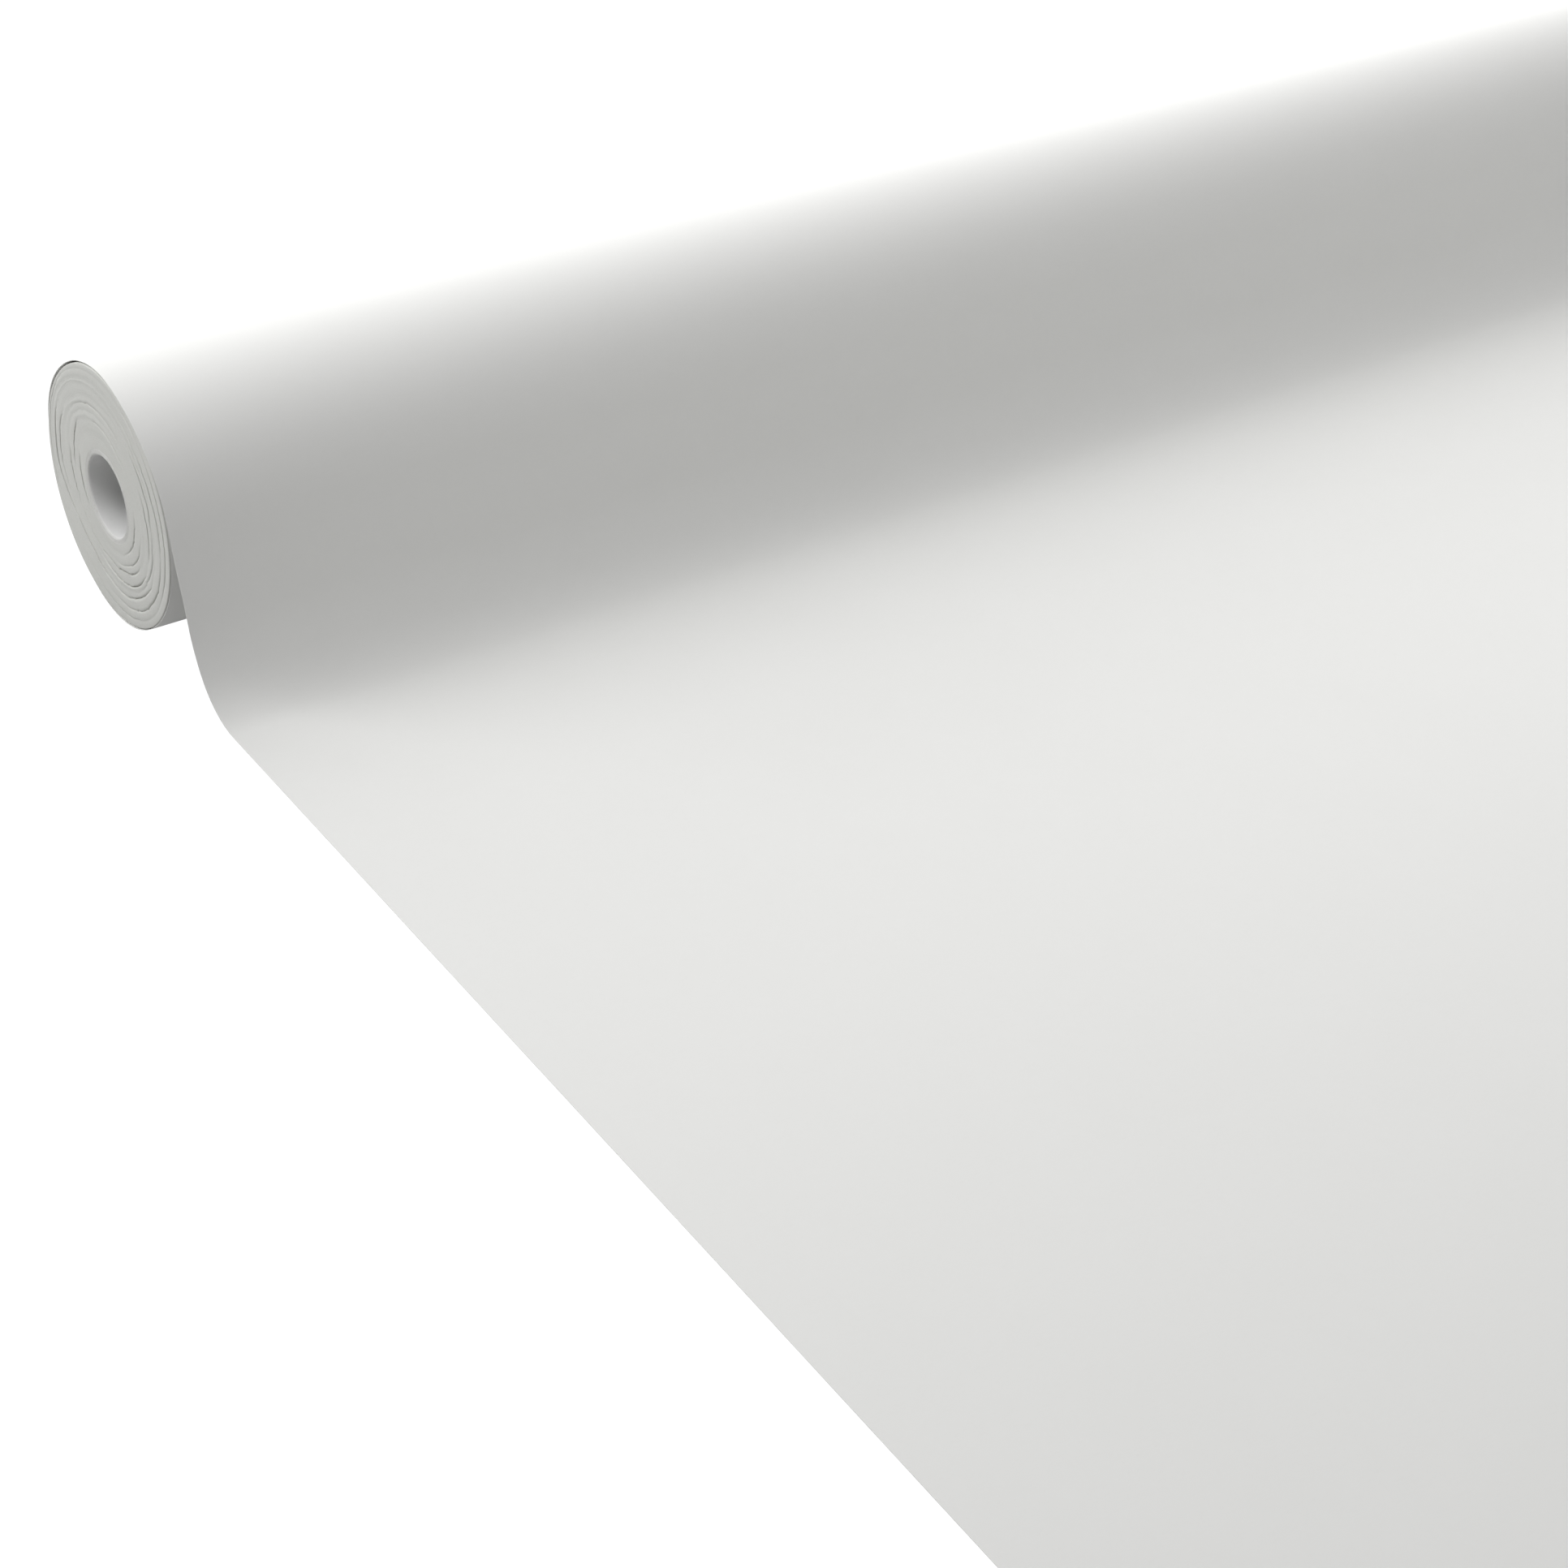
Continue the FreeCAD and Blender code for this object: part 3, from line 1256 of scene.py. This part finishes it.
@dataclass
class Studio:
    """The floor, the lights and the camera round the roll.

    Attributes:
        sizes: The roll's sizes.
        azimuth: The camera's bearing from straight in front, in degrees.
        elevation: How far it looks down, in degrees.
        roll: How far it is turned about its own line of sight, in degrees.
        lens: Its focal length in millimetres.
        camera_place: Where it stands from the left end's middle, in radii of the roll.
        floor_half: Half the floor's side, in metres.
        floor_drop: How far the floor lies under the sheet.
        floor_tone: The floor's paleness in the light that it sends back.
        floor_glow: Even light that the floor sends up.
        floor_white: How bright the floor and the walls look.
        world_light: Even light from the walls.
        lights: The soft lights.
    """

    sizes: RollSizes
    azimuth: float = 37.62
    elevation: float = 36.10
    roll: float = 4.28
    lens: float = 72.27
    camera_place: tuple[float, float, float] = (-7.837, -18.371, 11.991)
    floor_half: float = 9.0
    floor_drop: float = 0.4 * MM
    floor_tone: float = 0.3
    floor_glow: float = 0.16
    floor_white: float = 1.1
    world_light: float = 0.016
    lights: tuple[SoftBox, ...] = (
        SoftBox("key_low", (1.94, 1.69, 0.58), (1.1, 1.1), 50.0),
        SoftBox("key_high", (1.62, 1.37, 1.61), (1.1, 1.1), 29.0),
        SoftBox("left_top", (-1.32, -0.25, 2.47), (1.1, 1.1), 26.0),
        SoftBox("back_left_high", (-1.99, 0.9, 1.61), (1.1, 1.1), 15.5),
        SoftBox("back_left_low", (-2.37, 1.12, 0.58), (1.1, 1.1), 13.0),
        SoftBox("front_strip", (0.15, -2.59, 0.22), (3.2, 0.5), 7.5),
        SoftBox("back_top", (-0.28, 1.33, 2.29), (1.1, 1.1), 6.5),
        SoftBox("back_strip", (0.15, 1.82, 1.61), (3.2, 0.5), 5.5),
        SoftBox("front_top", (0.75, -0.3, 1.3), (0.5, 0.5), 4.5),
        SoftBox("front_right", (1.94, -2.19, 0.58), (1.1, 1.1), 3.0),
        SoftBox("back_strip_low", (1.2, 2.17, 1.06), (3.2, 0.5), 3.0),
    )

    def set_up(self) -> None:
        """Lay the floor, hang the lights and place the camera."""
        self._floor()
        self._world()
        for light in self.lights:
            light.hang()
        self._camera()

    def _floor(self) -> None:
        """Lay a plain white floor under the roll."""
        half = self.floor_half
        level = self.sizes.floor - self.floor_drop
        mesh = bpy.data.meshes.new("studio_floor")
        signs = ((-1, -1), (1, -1), (1, 1), (-1, 1))
        corners = [(half * x, half * y, level) for x, y in signs]
        mesh.from_pydata(corners, [], [(0, 1, 2, 3)])
        floor = bpy.data.objects.new("studio_floor", mesh)
        bpy.context.scene.collection.objects.link(floor)
        made, n = new_material("studio_floor")
        pale = (self.floor_tone, self.floor_tone, self.floor_tone, 1.0)
        feeds = {
            "Base Color": pale,
            "Roughness": 0.9,
            "Emission Color": WHITE,
            "Emission Strength": self.floor_glow,
        }
        matt = n.add("ShaderNodeBsdfPrincipled", feeds)
        matt.name = "floor_bounce"
        plain = n.add("ShaderNodeEmission", {"Color": WHITE, "Strength": self.floor_white})
        seen = n.add("ShaderNodeLightPath").outputs["Is Camera Ray"]
        n.finish(n.add("ShaderNodeMixShader", {0: seen, 1: matt.outputs[0], 2: plain.outputs[0]}))
        mesh.materials.append(made)

    def _world(self) -> None:
        """Give the room white walls to look at, and the even light that they send."""
        world = bpy.data.worlds.new("studio_room")
        world.use_nodes = True
        world.node_tree.nodes.clear()
        n = Nodes(world.node_tree)
        lit = n.add("ShaderNodeBackground", {"Color": WHITE, "Strength": self.world_light})
        plain = n.add("ShaderNodeBackground", {"Color": WHITE, "Strength": self.floor_white})
        seen = n.add("ShaderNodeLightPath").outputs["Is Camera Ray"]
        mixed = n.add("ShaderNodeMixShader", {0: seen, 1: lit.outputs[0], 2: plain.outputs[0]})
        n.add("ShaderNodeOutputWorld", {"Surface": mixed.outputs[0]})
        bpy.context.scene.world = world
        bpy.context.scene.view_settings.view_transform = "Standard"

    def _camera(self) -> None:
        """Stand the camera in front of the roll and to its left, looking down."""
        data = bpy.data.cameras.new("camera")
        data.lens, data.sensor_width = self.lens, 36.0
        data.clip_start, data.clip_end = 0.05, 60.0
        camera = bpy.data.objects.new("camera", data)
        bpy.context.scene.collection.objects.link(camera)
        end = Vector((self.sizes.left, 0, 0))
        camera.location = end + Vector(self.camera_place) * self.sizes.roll_radius
        a, e, r = (math.radians(v) for v in (self.azimuth, self.elevation, self.roll))
        back = Vector((-math.sin(a) * math.cos(e), -math.cos(a) * math.cos(e), math.sin(e)))
        right = Vector((math.cos(a), -math.sin(a), 0))
        up = back.cross(right)
        rolled_right = math.cos(r) * right + math.sin(r) * up
        rolled_up = math.cos(r) * up - math.sin(r) * right
        axes = (rolled_right, rolled_up, back)
        camera.matrix_world = Matrix.Translation(camera.location) @ Matrix(axes).transposed().to_4x4()
        bpy.context.scene.camera = camera


# Assembly ------------------------------------------------------------------------------


def dress(piece: bpy.types.Object, material: bpy.types.Material) -> None:
    """Give a piece one material in place of any that it has.

    Args:
        piece: The piece.
        material: Its material.
    """
    piece.data.materials.clear()
    piece.data.materials.append(material)
    log.info("%s: %d faces, %s", piece.name, len(piece.data.polygons), material.name)


def main() -> None:
    """Build the roll, dress every piece and set up the studio."""
    logging.basicConfig(level=logging.INFO, format="%(message)s")
    sizes = RollSizes.from_frame()
    make_tooth_group()
    make_clouds_group()
    make_turns_group()
    paper, edges, liner, board, wrap = (
        f.material() for f in (SHEET_PAPER, EDGE_PAPER, LINER_PAPER, BOARD, WRAP_PAPER)
    )
    Studio(sizes).set_up()
    pack = WoundPack(sizes).build()
    dress(pack, edges)
    dress(DrawnSheet(sizes).build(), paper)
    for ply in CoreTube(sizes).build():
        kind = {"core_tube_liner": liner, "core_tube_wrap": wrap}.get(ply.name, board)
        dress(ply, kind)
    film = TapeFinish().material()
    for node in sorted(n for n in frame["nodes"] if n.startswith("start_tape_")):
        dress(frame["nodes"][node], film)


if __name__ == "__main__":
    main()
